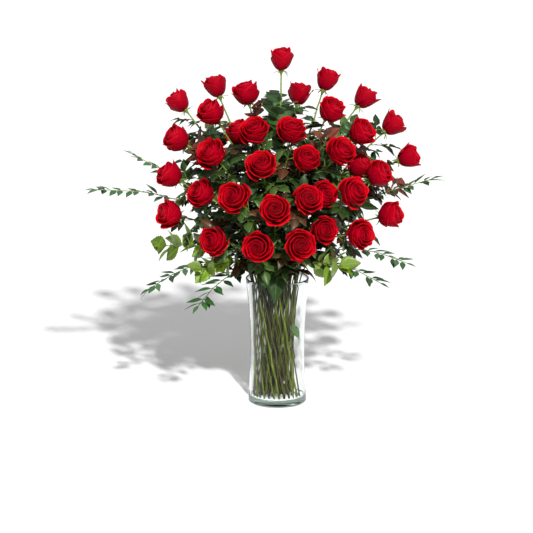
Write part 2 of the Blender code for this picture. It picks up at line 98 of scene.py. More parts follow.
PETAL_NOTCH = 0.030             # the ripple in the length of a petal
PETAL_WAVE = 0.045              # the ripple of its upper part in and out
LIP_CURL = 0.055                # how far its lip curls outward
LIP_DROP = 0.045                # and down
ROLL_OUT = 0.08                 # how far its side edges roll outward at most
ROLL_DOWN = 0.28                # and down

# The calyx, as (height in shares of the head's, radius in shares of the CAD stem's).
CALYX = ((-0.08, 1.00), (0.00, 1.60), (0.04, 2.30), (0.10, 2.60), (0.17, 2.0))
CALYX_LENGTH = 0.009            # the stem widens into the calyx over this length
NECK_ROOM = 0.018               # CAD rings nearer to the neck than this make way for the calyx
SEPALS = 5
SEPAL_LENGTH = 0.020
SEPAL_WIDTH = 0.0055

STEM_SIDES = 8
STEM_STEP = 0.014               # a stem's smooth curve has a ring this often
STEM_TAPER = (0.95, 0.66)       # its radius at the cut end and the neck, beside the CAD's
STEM_SWAY = 0.0009              # how far a stem weaves from side to side
KNUCKLES_PER_STEM = 5
KNUCKLE_SWELL = 1.22
THORNS_PER_STEM = 5
THORN_LENGTH = 0.0045
THORN_DROP = 0.002              # how far a thorn's point hangs down the stem
THORN_RADII = (0.0013, 0.0007, 0.0001)


# ---------------- reading the frame

def unit(vector):
    return vector / max(np.linalg.norm(vector), 1e-9)


def level_side(way):
    """A level vector square to a way, or +X where the way is nearly upright."""
    side = np.cross(way, UP)
    if np.linalg.norm(side) < 0.05:
        return np.array([1.0, 0.0, 0.0])
    return side


def merged_mesh(node):
    """A node's corners with doubles merged, and for each corner the corners it shares an edge with."""
    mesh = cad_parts[node].data
    corners = np.array([vert.co for vert in mesh.vertices], float)
    _, first, index = np.unique(np.round(corners / SAME_CORNER).astype(np.int64), axis=0,
                                return_index=True, return_inverse=True)
    index = index.reshape(-1)
    near = [set() for _ in first]
    for edge in mesh.edges:
        a, b = (index[v] for v in edge.vertices)
        if a != b:
            near[a].add(b)
            near[b].add(a)
    return corners[first], near


def plate_corners(points, near):
    """The corners of leaf plates: those with an edge as short as the plate is thick."""
    found = set()
    for a, others in enumerate(near):
        for b in others:
            if np.linalg.norm(points[a] - points[b]) < PLATE_EDGE:
                found.update((a, b))
    return found


def flood(start, near, within):
    """The corners that edges join to the start without leaving the given set."""
    found, waiting = {start}, [start]
    while waiting:
        for v in near[waiting.pop()]:
            if v in within and v not in found:
                found.add(v)
                waiting.append(v)
    return found


def distances_along(points, near, within):
    """Each corner's shortest way over the mesh's edges from the lowest corner, the cut end."""
    start = min(within, key=lambda v: points[v][2])
    reached, waiting = {}, [(0.0, start)]
    while waiting:
        distance, v = heapq.heappop(waiting)
        if v in reached:
            continue
        reached[v] = distance
        for other in near[v]:
            if other in within and other not in reached:
                step = np.linalg.norm(points[other] - points[v])
                heapq.heappush(waiting, (distance + step, other))
    return reached


def ring_of(corners):
    """A ring's centre and radius, from its two corners that are farthest apart."""
    gaps = np.linalg.norm(corners[:, None] - corners[None], axis=2)
    a, b = np.unravel_index(gaps.argmax(), gaps.shape)
    return (corners[a] + corners[b]) / 2, gaps.max() / 2


def stem_and_leaves(node, gap):
    """Walks a stem's mesh from its cut end and gathers its corners into rings.

    Returns the rings' centres and radii, and the corners of each leaf plate that grows from it.
    """
    points, near = merged_mesh(node)
    plates = plate_corners(points, near) if "spray" in node else set()
    stem = set(range(len(points))) - plates
    reached = distances_along(points, near, stem)
    order = sorted(reached, key=reached.get)
    rings = [[order[0]]]
    for before, after in zip(order, order[1:]):
        if reached[after] - reached[before] > gap:
            rings.append([])
        rings[-1].append(after)
    measured = [ring_of(points[ring]) for ring in rings if len(ring) > 1]
    leaves, left = [], set(plates)
    while left:
        leaf = flood(next(iter(left)), near, left)
        leaves.append(points[sorted(leaf)])
        left -= leaf
    leaves.sort(key=lambda leaf: tuple(leaf.mean(axis=0)))
    centres, radii = zip(*measured)
    return np.array(centres), np.array(radii), leaves


class Head:
    """A rose head's own axes, from the rings of its CAD outline."""

    def __init__(self, centres, radii):
        calyx, top = centres[-HEAD_RINGS], centres[-1]
        self.axis = unit(top - calyx)
        self.radius = radii.max()
        self.slimness = np.linalg.norm(top - calyx) / self.radius
        self.height = np.linalg.norm(top - calyx) / (1.0 - CALYX_SHARE)
        self.neck = top - self.axis * self.height
        self.middle = self.neck + self.axis * self.height * MIDDLE_SHARE
        self.side = unit(level_side(self.axis))
        self.across = np.cross(self.axis, self.side)

    def place(self, x, y, z):
        """Turns points in the head's own axes into points of the frame."""
        return (self.neck + x[..., None] * self.side + y[..., None] * self.across
                + z[..., None] * self.axis)


def head_kind(head):
    """How far a head has opened, by how slim it is."""
    if head.slimness > BUD_SLIMNESS:
        return "bud"
    if head.slimness > HALF_OPEN_SLIMNESS:
        return "half"
    return "open"


# ---------------- meshes

class Patches:
    """Collects curved sheets and tubes and turns them into one mesh of thin closed shells.

    Every corner carries where it is on its sheet (across and along) and on which side (1 is a leaf's
    upper side or a petal's inner one). Every sheet carries a tone and an age, which the materials read.
    """

    def __init__(self):
        self.corners, self.faces, self.flat, self.sheet_uv, self.tone = [], [], [], [], []

    def append_corners(self, points, across, along, side, tone, age):
        """Adds corners with what the materials read, and returns the number of the first."""
        first = sum(len(group) for group in self.corners)
        self.corners.append(points)
        self.sheet_uv.append(np.stack([across.ravel(), along.ravel(), np.full(across.size, side)], 1))
        self.tone.append(np.tile([tone, age, 0.0], (across.size, 1)))
        return first

    def append_faces(self, faces, flat=False):
        self.faces.append(faces)
        self.flat.append(np.full(len(faces), flat))

    def add(self, points, across, along, tone, age, thickness):
        """A closed shell round a sheet of points: its two sides, and a rim that joins them."""
        rows, columns = points.shape[:2]
        normal = np.cross(np.gradient(points, axis=1), np.gradient(points, axis=0))
        normal /= np.maximum(np.linalg.norm(normal, axis=2, keepdims=True), 1e-9)
        for side in (0.5, -0.5):
            shifted = (points + normal * thickness * side).reshape(-1, 3)
            first = self.append_corners(shifted, across, along, 0.5 - side, tone, age)
            number = first + np.arange(rows * columns).reshape(rows, columns)
            quads = np.stack([number[:-1, :-1], number[:-1, 1:], number[1:, 1:], number[1:, :-1]], -1)
            quads = quads.reshape(-1, 4)
            self.append_faces(quads if side > 0 else quads[:, ::-1])
            if side > 0:
                front = number
        edge = np.concatenate([front[0], front[1:, -1], front[-1, -2::-1], front[-2:0:-1, 0]])
        back = edge + rows * columns
        self.append_faces(np.stack([np.roll(edge, -1), edge, back, np.roll(back, -1)], -1), flat=True)

    def add_tube(self, centres, radii, sides, tone, age):
        """A closed tube along the centres; across runs round it and along runs up it."""
        centres = np.asarray(centres)
        radii = np.broadcast_to(radii, len(centres))
        ways = np.gradient(centres, axis=0)
        ways /= np.maximum(np.linalg.norm(ways, axis=1, keepdims=True), 1e-9)
        side = level_side(ways[0])
        rings = []
        turn = np.linspace(0, math.tau, sides, endpoint=False)
        for centre, way, radius in zip(centres, ways, radii):
            side = unit(side - way * np.dot(side, way))
            other = np.cross(way, side)
            rings.append(centre + radius * (np.cos(turn)[:, None] * side + np.sin(turn)[:, None] * other))
        rows = len(centres)
        along = np.repeat(np.linspace(0, 1, rows), sides)
        across = np.tile(np.linspace(-1, 1, sides, endpoint=False), rows)
        first = self.append_corners(np.concatenate(rings), across, along, 1.0, tone, age)
        number = first + np.arange(rows * sides).reshape(rows, sides)
        ahead = np.roll(number, -1, axis=1)
        self.append_faces(np.stack([number[:-1], ahead[:-1], ahead[1:], number[1:]], -1).reshape(-1, 4))
        self.append_faces([number[0][::-1], number[-1]], flat=True)

    def to_object(self, name, material):
        corners = np.concatenate(self.corners)
        faces = [tuple(int(v) for v in face) for group in self.faces for face in group]
        mesh = bpy.data.meshes.new(name)
        mesh.from_pydata(corners.tolist(), [], faces)
        mesh.polygons.foreach_set("use_smooth", ~np.concatenate(self.flat))
        for label, values in (("sheet", self.sheet_uv), ("tone", self.tone)):
            layer = mesh.attributes.new(label, "FLOAT_VECTOR", "POINT")
            layer.data.foreach_set("vector", np.concatenate(values).astype(np.float32).ravel())
        mesh.materials.append(material)
        return add_object(name, mesh)


def add_object(name, data):
    thing = bpy.data.objects.new(name, data)
    bpy.context.scene.collection.objects.link(thing)
    return thing


def smooth_route(points, radii, step):
    """A Catmull-Rom curve through the points, with a radius at each place on it."""
    points = np.asarray(points)
    padded = np.concatenate([[2 * points[0] - points[1]], points, [2 * points[-1] - points[-2]]])
    route, widths = [], []
    for i in range(len(points) - 1):
        a, b, c, d = padded[i:i + 4]
        count = max(1, round(np.linalg.norm(c - b) / step))
        t = np.linspace(0, 1, count, endpoint=False)[:, None]
        route.append(0.5 * (2 * b + (c - a) * t + (2 * a - 5 * b + 4 * c - d) * t ** 2
                            + (3 * b - a - 3 * c + d) * t ** 3))
        widths.append(radii[i] + (radii[i + 1] - radii[i]) * t[:, 0])
    route.append(points[-1:])
    widths.append([radii[-1]])
    return np.concatenate(route), np.concatenate(widths)


# ---------------- materials

class Shader:
    """A Principled material with a few shorthands for wiring its nodes."""

    def __init__(self, name):
        self.material = bpy.data.materials.new(name)
        self.material.use_nodes = True
        self.tree = self.material.node_tree
        self.surface = self.tree.nodes["Principled BSDF"]

    def node(self, kind, **settings):
        node = self.tree.nodes.new(kind)
        for key, value in settings.items():
            setattr(node, key, value)
        return node

    def link(self, output, target):
        self.tree.links.new(output, target)

    def feed(self, socket, value):
        """Puts a number or a colour on a socket, or links a node's output to it."""
        if isinstance(value, (int, float)):
            socket.default_value = value
        elif isinstance(value, tuple):
            socket.default_value = (*value, 1.0)
        else:
            self.link(value, socket)

    def split(self, vector):
        node = self.node("ShaderNodeSeparateXYZ")
        self.link(vector, node.inputs[0])
        return node.outputs

    def attribute(self, name):
        return self.split(self.node("ShaderNodeAttribute", attribute_name=name).outputs["Vector"])

    def place(self):
        return self.node("ShaderNodeTexCoord").outputs["Object"]

    def math(self, operation, *values):
        node = self.node("ShaderNodeMath", operation=operation)
        for socket, value in zip(node.inputs, values):
            self.feed(socket, value)
        return node.outputs[0]

    def add(self, first, second):
        return self.math("ADD", first, second)

    def times(self, first, second):
        return self.math("MULTIPLY", first, second)

    def ramp(self, factor, *stops):
        node = self.node("ShaderNodeValToRGB")
        elements = node.color_ramp.elements
        while len(elements) < len(stops):
            elements.new(0.5)
        for element, (position, colour) in zip(elements, stops):
            element.position = position
            element.color = (*colour, 1.0)
        self.link(factor, node.inputs[0])
        return node.outputs[0]

    def mix(self, factor, first, second):
        node = self.node("ShaderNodeMix", data_type="RGBA")
        for number, value in ((0, factor), (6, first), (7, second)):
            self.feed(node.inputs[number], value)
        return node.outputs[2]

    def noise(self, scale, detail, vector=None):
        node = self.node("ShaderNodeTexNoise")
        node.inputs["Scale"].default_value = scale
        node.inputs["Detail"].default_value = detail
        self.link(self.place() if vector is None else vector, node.inputs["Vector"])
        return node.outputs["Fac"]

    def combine(self, *values):
        node = self.node("ShaderNodeCombineXYZ")
        for socket, value in zip(node.inputs, values):
            self.feed(socket, value)
        return node.outputs[0]

    def bump(self, height, strength, distance):
        node = self.node("ShaderNodeBump")
        node.inputs["Strength"].default_value = strength
        node.inputs["Distance"].default_value = distance
        self.link(height, node.inputs["Height"])
        self.link(node.outputs[0], self.surface.inputs["Normal"])

    def colour_and_roughness(self, colour, roughness):
        self.link(colour, self.surface.inputs["Base Color"])
        self.link(roughness, self.surface.inputs["Roughness"])

    def set(self, **values):
        """Sets the surface's own constants; an underscore stands for a space in their names."""
        for key, value in values.items():
            self.surface.inputs[key.replace("_", " ")].default_value = value


WHITE = (1.0, 1.0, 1.0)
BLACK = (0.0, 0.0, 0.0)
PETAL_BASE = (0.10, 0.0, 0.002)
# A painted sheen on patches of the petals.
PETAL_SHEEN = (0.60, 0.0, 0.012)
PETAL_SHADE = (0.18, 0.0, 0.006)
# The painted shade in a rose's centre.
PETAL_CENTRE_SHADE = (0.10, 0.0, 0.004)
YOUNG_LEAF = (0.085, 0.016, 0.010)
MIDRIB_WIDTH = 0.055            # as a share of the leaf's half-width
# The colour that the glass lets through, and how much it absorbs in each metre.
GLASS_TINT = (0.38, 0.62, 0.50, 1.0)
GLASS_DENSITY = 7.0
GLASS_MIRROR = (0.15, 0.15, 0.15, 1.0)      # weakens reflections, which would veil the stems


def petal_material():
    """Velvet red with fine veins that fan to the edge, painted shade towards each petal's base and in the
    centre, and a painted sheen.
    """
    shader = Shader("petal")
    across, along, side = shader.attribute("sheet")
    tone, age, _ = shader.attribute("tone")
    # Both sides darken towards the petal's base: painted shade deep in the head and between the petals.
    inside = shader.ramp(along, (0.15, (0.07, 0.0, 0.002)), (0.58, (0.42, 0.0, 0.005)),
                         (0.92, (0.66, 0.0, 0.008)))
    outside = shader.ramp(along, (0.0, (0.10, 0.002, 0.008)), (0.30, (0.21, 0.0, 0.010)),
                          (0.95, (0.45, 0.0, 0.012)))
    base = shader.mix(side, outside, inside)
    fan = shader.add(shader.times(across, 26.0), shader.times(tone, 40.0))
    veins = shader.noise(1.0, 3.0, shader.combine(fan, shader.times(along, 2.2), 0.0))
    veined = shader.mix(shader.times(veins, 0.45), base, PETAL_BASE)
    # Random patches of brighter red are a painted sheen.
    painted_sheen = shader.mix(shader.times(shader.noise(70.0, 2.0), 0.20), veined, PETAL_SHEEN)
    darker = shader.times(shader.math("SUBTRACT", 1.0, tone), 0.28)
    shaded = shader.mix(darker, painted_sheen, PETAL_SHADE)
    # The inner petals darken towards the rose's centre: painted shade deep in the head.
    centre_shade = shader.ramp(age, (0.10, (0.55, 0.55, 0.55)), (0.55, BLACK))
    shader.colour_and_roughness(shader.mix(centre_shade, shaded, PETAL_CENTRE_SHADE),
                                shader.add(shader.times(veins, 0.18), 0.42))
    shader.bump(veins, 0.45, 0.0008)
    shader.set(Specular_IOR_Level=0.06)
    return shader.material


def leaf_material(name, upper, lower, vein, roughness=0.36, vein_count=7.0):
    """A leaf: pale midrib and side veins, a blotchy green upper face and a greyer underside.

    Low tones darken the upper face as painted shade and high ones turn it paler, and an age of 1 turns it
    bronze.
    """
    shader = Shader(name)
    across, along, side = shader.attribute("sheet")
    tone, age, _ = shader.attribute("tone")
    width = shader.math("ABSOLUTE", across)
    rib = shader.math("LESS_THAN", width, MIDRIB_WIDTH)
    slant = shader.math("SUBTRACT", along, shader.times(width, 0.22))
    comb = shader.math("PINGPONG", shader.times(slant, vein_count), 0.5)
    side_vein = shader.ramp(comb, (0.02, WHITE), (0.10, BLACK))
    pattern = shader.math("MAXIMUM", rib, shader.times(side_vein, 0.55))
    cloud = shader.noise(90.0, 3.0)
    fresh = tuple(c * 1.9 for c in upper)
    painted_shade_colour = tuple(c * 0.4 for c in upper)
    top = shader.mix(shader.times(cloud, 0.55), upper, fresh)
    # Leaves with a low tone, drawn at random, are darkened as if in shade: painted shade.
    top = shader.mix(shader.ramp(tone, (0.0, WHITE), (0.6, BLACK)), top, painted_shade_colour)
    top = shader.mix(shader.ramp(tone, (0.78, BLACK), (1.0, (0.7, 0.7, 0.7))), top, vein)
    top = shader.mix(age, top, YOUNG_LEAF)
    base = shader.mix(side, lower, top)
    shader.colour_and_roughness(shader.mix(shader.times(pattern, 0.4), base, vein),
                                shader.add(shader.times(cloud, 0.25), roughness - 0.1))
    shader.bump(shader.math("SUBTRACT", shader.times(cloud, 0.3), pattern), 0.35, 0.0004)
    shader.set(Specular_IOR_Level=0.36)
    return shader.material


def stem_material():
    """Streaked green; down in the vase much darker, a brownish olive or on some stems a fresher green:
    partly their colour, partly painted shade.
    """
    shader = Shader("stem")
    across, along, _ = shader.attribute("sheet")
    tone = shader.attribute("tone")[0]
    streak = shader.noise(1.0, 3.0, shader.combine(
        shader.times(across, 3.0), shader.times(along, 9.0), shader.times(tone, 50.0)))
    green = shader.mix(streak, (0.085, 0.150, 0.016), (0.25, 0.33, 0.055))
    # Down in the vase the stems are darkened: partly their own olive colour, partly painted shade among
    # the crowded stems, which the key light reaches unshadowed through the glass.
    brown_and_shade = shader.mix(streak, (0.006, 0.005, 0.001), (0.040, 0.034, 0.006))
    fresh = shader.mix(streak, (0.018, 0.030, 0.002), (0.085, 0.105, 0.009))
    is_fresh = shader.math("GREATER_THAN", shader.math("FRACT", shader.times(tone, 7.0)), 0.62)
    low_colour_and_shade = shader.mix(is_fresh, brown_and_shade, fresh)
    height = shader.split(shader.place())[2]
    low = shader.math("MULTIPLY_ADD", height, -6.0, 2.5)
    low = shader.times(low, shader.add(shader.times(tone, 0.6), 0.70))
    clamp = shader.node("ShaderNodeClamp")
    shader.link(low, clamp.inputs[0])
    shader.colour_and_roughness(shader.mix(clamp.outputs[0], green, low_colour_and_shade),
                                shader.add(shader.times(streak, 0.2), 0.4))
    shader.bump(streak, 0.3, 0.0004)
    shader.set(Specular_IOR_Level=0.25)
    return shader.material


def glass_material():
    """Clear, faintly uneven glass with a trace of green that shows in the thick floor."""
    shader = Shader("clear_glass")
    shader.set(Base_Color=(0.985, 1.0, 0.995, 1.0), Roughness=0.0, IOR=1.50, Transmission_Weight=1.0,
               Specular_Tint=GLASS_MIRROR)
    volume = shader.node("ShaderNodeVolumeAbsorption")
    volume.inputs["Color"].default_value = GLASS_TINT
    volume.inputs["Density"].default_value = GLASS_DENSITY
    shader.bump(shader.noise(26.0, 1.0), 0.12, 0.0006)
    output = next(n for n in shader.tree.nodes if n.type == "OUTPUT_MATERIAL")
    shader.link(volume.outputs[0], output.inputs["Volume"])
    return shader.material


# ---------------- the vase

FOOT_EDGE = 0.007               # the rounding of the vase's foot
INNER_EDGE = 0.004              # the rounding where its wall meets its floor inside
FLOOR_TOP = 0.016
# The hollowed underside, as (distance in from the flat of the foot, height), and its middle's height.
HOLLOW = ((0.006, 0.0), (0.010, 0.0012), (0.017, 0.0034), (0.026, 0.0046))
HOLLOW_TOP = 0.0050
ARC_STEPS = 8
INNER_WALL_STEPS = 26
OUTER_WALL_STEPS = 30
VASE_TURN_STEPS = 128


def measure_vase():
    """The vase's height, wall and outer side as (height, radius) points, from its CAD mesh."""
    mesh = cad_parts["vase"].data
    side = {}
    for face in mesh.polygons:
        out = Vector((face.center.x, face.center.y, 0.0)).normalized()
        if face.normal.dot(out) > 0.9:
            for index in face.vertices:
                corner = mesh.vertices[index].co
                side[round(corner.z, 4)] = math.hypot(corner.x, corner.y)
    points, _ = merged_mesh("vase")
    radius = np.hypot(points[:, 0], points[:, 1])
    shoulder = max(side)
    wall = side[shoulder] - radius[np.abs(points[:, 2] - shoulder) < 0.0002].min()
    return points[:, 2].max(), wall, sorted(side.items())


def quarter(centre, start, stop, radius):
    """Points on an arc, by its centre (radius, height) and its first and last angle in degrees."""
    angles = np.radians(np.linspace(start, stop, ARC_STEPS + 1))
    return [(centre[0] + radius * math.cos(a), centre[1] + radius * math.sin(a)) for a in angles]


def vase_section():
    """The vase's half section as (radius, height) points: floor, inside, lip, outside, foot, hollow."""
    top, wall, body = measure_vase()
    heights, radii = np.array(body).T
    fit = np.polyfit(heights, radii, 4)

    def side(height):
        return float(np.polyval(fit, height))

    lip = wall / 2
    outline = [(0.0, FLOOR_TOP)]
    inner = side(FLOOR_TOP + INNER_EDGE) - wall
    outline += quarter((inner - INNER_EDGE, FLOOR_TOP + INNER_EDGE), -90, 0, INNER_EDGE)
    climb = np.linspace(FLOOR_TOP + INNER_EDGE, top - lip, INNER_WALL_STEPS)
    outline += [(side(z) - wall, z) for z in climb[1:-1]]
    outline += quarter((side(top - lip) - lip, top - lip), 180, 0, lip)
    outline += [(side(z), z) for z in np.linspace(top - lip, FOOT_EDGE, OUTER_WALL_STEPS)[1:-1]]
    flat = side(FOOT_EDGE) - FOOT_EDGE
    outline += quarter((flat, FOOT_EDGE), 0, -90, FOOT_EDGE)
    outline += [(flat - inward, z) for inward, z in HOLLOW]
    outline.append((0.0, HOLLOW_TOP))
    return outline


def build_vase(material):
    """A turned glass vase: thick floor, waisted wall, rounded lip and foot, hollowed underside."""
    outline = vase_section()
    mesh = bpy.data.meshes.new("glass_vase")
    mesh.from_pydata([(r, 0.0, z) for r, z in reversed(outline)],
                     [(i, i + 1) for i in range(len(outline) - 1)], [])
    vase = add_object("glass_vase", mesh)
    turn = vase.modifiers.new("turn", "SCREW")
    turn.steps = VASE_TURN_STEPS
    turn.render_steps = VASE_TURN_STEPS
    turn.use_merge_vertices = True
    turn.merge_threshold = 0.00005
    turn.use_smooth_shade = True
    turn.use_normal_calculate = True
    mesh.materials.append(material)
    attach(vase, "root")
    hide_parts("vase")
    vase.visible_shadow = False          # clear glass lets the key light through to the stems


# ---------------- roses

def blend_stages(stages, share):
    """The petal shape part-way between the two nearest stages."""
    for before, after in zip(stages, stages[1:]):
        if share <= after[0]:
            break
    mixing = (share - before[0]) / (after[0] - before[0])
    return [np.asarray(a, float) * (1 - mixing) + np.asarray(b, float) * mixing
            for a, b in zip(before[1:], after[1:])]


def bezier(t, start, first, second, end):
    """The radius and height of a cubic Bezier curve at each t, from its (radius, height) points."""
    s = 1.0 - t
    return [s ** 3 * start[i] + 3 * s * s * t * first[i] + 3 * s * t ** 2 * second[i] + t ** 3 * end[i]
            for i in (0, 1)]


def petal_sheet(head, kind, share, turn, rng):
    """One petal: a curved sheet that follows its outline upward and wraps round the head.

    Share is how far out the petal stands, from 0 at the head's centre to 1 outermost.
    """
    base, belly, shoulder, lip, wrap, top, roll = blend_stages(HEAD_STAGES[kind], share)
    u, v = np.meshgrid(np.linspace(-1, 1, PETAL_COLUMNS), np.linspace(0, 1, PETAL_ROWS))
    edge = np.abs(u - rng.uniform(-PETAL_SKEW, PETAL_SKEW) * share)
    notch = PETAL_NOTCH * np.cos(u * 7.0 + rng.uniform(0, 6)) * share
    along = v * (1.0 - (0.04 + 0.24 * share) * edge ** 1.25 + notch)
    radius, height = bezier(along, base, belly, shoulder, lip)
    curl = np.clip((along - 0.80) / 0.20, 0.0, 1.0) ** 2 * (0.3 + 0.7 * share)
    flare = 1.0 + rng.uniform(-0.10, 0.10) * along * (0.4 + 0.6 * share)
    radius = head.radius * (radius * flare + LIP_CURL * curl)
    height = head.height * (height * (1.0 + rng.uniform(-0.10, 0.04)) - LIP_DROP * curl)
    wide = np.interp(along, [0.0, 0.25, 0.62, 0.85, 1.0], [0.42, 0.78, 1.0, 0.45 + 0.55 * top, top])
    angle = turn + u * math.radians(float(wrap) * rng.uniform(0.9, 1.1)) * wide
    back = roll * np.abs(u) ** 2.4 * along ** 2.5
    spiral = (0.055 + 0.04 * share) * u * (0.25 + along)
    wave = PETAL_WAVE * share * along ** 3 * np.sin(u * 4.5 + rng.uniform(0, 6))
    radius = radius + head.radius * (ROLL_OUT * back + spiral + wave)
    height = height - head.height * (ROLL_DOWN * back - 0.02 * wave)
    radius = np.maximum(radius, head.radius * 0.006)
    return head.place(radius * np.cos(angle), radius * np.sin(angle), height), u, v


def build_petals(name, head, kind, material, rng):
    """A head's petals, each turned by the golden angle from the one before it."""
    sheets = Patches()
    count = PETAL_COUNTS[kind]
    turn = rng.uniform(0, math.tau)
    for number in range(count):
        share = number / (count - 1)
        turn += GOLDEN_TURN + rng.uniform(-0.10, 0.10)
        points, u, v = petal_sheet(head, kind, share, turn, rng)
        sheets.add(points, u, v, rng.uniform(0, 1), share, PETAL_THICKNESS)
    petals = sheets.to_object(name + "_petals", material)
    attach(petals, "root")
    return petals


def sepal_sheet(head, turn, rng):
    """A narrow pointed sepal that leaves the calyx and bends back at its tip."""
    u, v = np.meshgrid(np.linspace(-1, 1, 3), np.linspace(0, 1, 7))
    length = SEPAL_LENGTH * rng.uniform(0.8, 1.15)
    bend = rng.uniform(0.2, 1.0)
    out = head.radius * 0.14 + length * (0.80 * v - 0.15 * bend * v ** 2)
    rise = head.height * 0.04 + length * (0.05 * v - 0.60 * bend * v ** 2)
    half_width = SEPAL_WIDTH / 2 * (1 - v) ** 0.7 * (0.6 + 0.8 * v)
    droop = 0.12 * SEPAL_WIDTH * u ** 2
    x = out * math.cos(turn) - u * half_width * math.sin(turn)
    y = out * math.sin(turn) + u * half_width * math.cos(turn)
    return head.place(x, y, rise - droop), u, v


def stem_route(centres, radius, head, rng):
    """A stem's ring centres and radii up to the calyx, with swollen knuckles and a slight sway."""
    own = [ring for ring in centres[:-HEAD_RINGS] if np.linalg.norm(ring - head.neck) > NECK_ROOM]
    own.append(head.neck - head.axis * CALYX_LENGTH)
    route, widths = smooth_route(own, np.full(len(own), radius), STEM_STEP)
    tone = rng.uniform(0, 1)
    widths = widths * np.linspace(*STEM_TAPER, len(widths)) * rng.uniform(0.92, 1.0)
    knuckles = rng.choice(len(route) - 4, KNUCKLES_PER_STEM, replace=False) + 2
    widths[knuckles] *= KNUCKLE_SWELL
    sway = rng.uniform(0, 6, 2) + np.arange(len(route))[:, None] * rng.uniform(1.0, 1.5)
    route[1:-2, :2] += STEM_SWAY * np.sin(sway)[1:-2]
    return route, widths, tone


def add_thorns(sheets, route, radius, tone, rng):
    """Thorns on the upper two thirds of a stem, hooked back down it."""
    spots = np.arange(len(route) // 3, len(route) - 8)
    for spot in rng.choice(spots, THORNS_PER_STEM, replace=False):
        way = unit(route[spot + 1] - route[spot])
        out = unit(np.cross(way, rng.normal(size=3)))
        root = route[spot] + out * radius * 0.6
        bend = [root, root + out * THORN_LENGTH * 0.5, root + out * THORN_LENGTH - way * THORN_DROP]
        sheets.add_tube(bend, THORN_RADII, 5, tone, 0.5)


def build_stem(name, centres, radii, head, material, rng):
    """The stem with its knuckles and thorns, the swollen calyx and the sepals."""
    sheets = Patches()
    route, widths, tone = stem_route(centres, radii[0], head, rng)
    whole = list(route) + [head.neck + head.axis * head.height * z for z, _ in CALYX]
    widths = list(widths) + [radii[0] * w for _, w in CALYX]
    sheets.add_tube(whole, np.array(widths), STEM_SIDES, tone, 0.0)
    for turn in np.arange(SEPALS) * math.tau / SEPALS + rng.uniform(0, 1):
        points, u, v = sepal_sheet(head, turn, rng)
        sheets.add(points, u, v, tone, 1.0, LEAF_THICKNESS)
    add_thorns(sheets, whole, radii[0], tone, rng)
    stem = sheets.to_object(name + "_stem", material)
    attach(stem, "root")
    return stem, route


# ---------------- leaves

LEAF_THICKNESS = 0.0004
LEAF_ROWS = 8
LEAF_COLUMNS = 5
STALK_SIDES = 5
BETWEEN_TEETH = 0.90            # a leaf's width between two teeth, beside that at a tooth
# Outlines of a leaf, as (share of its length, half-width as a share of the widest).
OVATE = ((0.0, 0.10), (0.12, 0.62), (0.30, 0.97), (0.42, 1.0), (0.62, 0.82), (0.82, 0.42), (1.0, 0.02))
LANCE = ((0.0, 0.06), (0.15, 0.58), (0.35, 1.0), (0.55, 0.90), (0.80, 0.42), (1.0, 0.02))

# A rose leaf's leaflets, as (place along the stalk, angle from it in degrees, size), and its sizes.
LEAFLETS = ((0.42, 62, 0.72), (0.42, -62, 0.72), (0.74, 55, 0.88), (0.74, -55, 0.88), (1.0, 0, 1.0))
LEAFLET_LENGTH = 0.033
LEAFLET_WIDTH = 0.022
LEAFLET_TEETH = 4
LEAF_STALK = 0.050
STALK_RINGS = 5
BRONZE_SHARE = 0.28             # how many rose leaves are still young and bronze

# Where rose leaves grow.
LEAF_SPACING = 0.0185           # they leave the stem this often
DENSE_ABOVE = 0.42              # above this height there are fewer stems, with leaves closer together
DENSER = 0.55                   # the spacing there, as a share
FIRST_LEAF = 0.004              # the lowest leaf is this high above the rim
BARE_BELOW_HEAD = 0.026
BARE_BELOW_TOP_BUDS = 0.066
TOP_BUDS_ABOVE = 0.36           # heads this high above the rim stand clear of the foliage

# Room for a leaf: it keeps clear of the heads and of the space before them, which narrows forward.
FRONT = np.array([0.0, -0.97, 0.23])
CLEAR_IN_FRONT = 0.14           # the length of the space that is kept clear before a rose's face
NARROWING = 2                   # how fast it narrows, as a share of the head's radius for each metre
LEAF_ROOM = 0.006
LEAF_REACH = np.array([[0.020], [0.040], [0.060], [0.078]])     # places along a full-size leaf
TURNS_TRIED = 7
SIZES_TRIED = (1.0, 0.8, 0.6, 0.45)

# Single leaves, as (way they point, a vector square to their width, length, width, fold, droop,
# teeth, tone): those that hang over the rim, and the one left on a stem inside the vase.
RIM_LEAF = ((-0.22, -0.75, -0.46), (0.0, 0.0, 1.0), 0.066, 0.056, 0.22, 0.60, 8, 0.30)
RIM_LEAF_ROOT = 0.026           # above the rim
RIM_LEAVES = (1.0, 0.6)         # their sizes
STRAY_LEAF = ((0.44, -0.06, -0.90), (0.3, -1.0, 0.2), 0.034, 0.017, 0.20, 0.10, 6, 0.5)
STRAY_LEAF_AT = (0.036, -0.024, 0.173)


def leaf_sheet(root, way, wide, length, width, outline, fold, droop, teeth=0, columns=LEAF_COLUMNS):
    """A leaf blade: an outline by its half-width along its length, folded up along the midrib."""
    rows = max(LEAF_ROWS, teeth * 2)
    u, v = np.meshgrid(np.linspace(-1, 1, columns), np.linspace(0, 1, rows))
    shape = np.interp(v, *np.array(outline).T)
    if teeth:
        saw = np.where(np.arange(rows) % 2 == 0, 1.0, BETWEEN_TEETH)[:, None]
        edge = np.abs(u) > 0.9
        shape = np.where(edge, shape * saw, shape)
    thick = np.cross(way, wide)
    side = u * width / 2 * shape
    lift = fold * np.abs(side) - droop * length * v ** 2
    points = (root + way * (v * length)[..., None] + wide * side[..., None] + thick * lift[..., None])
    return points, u, v


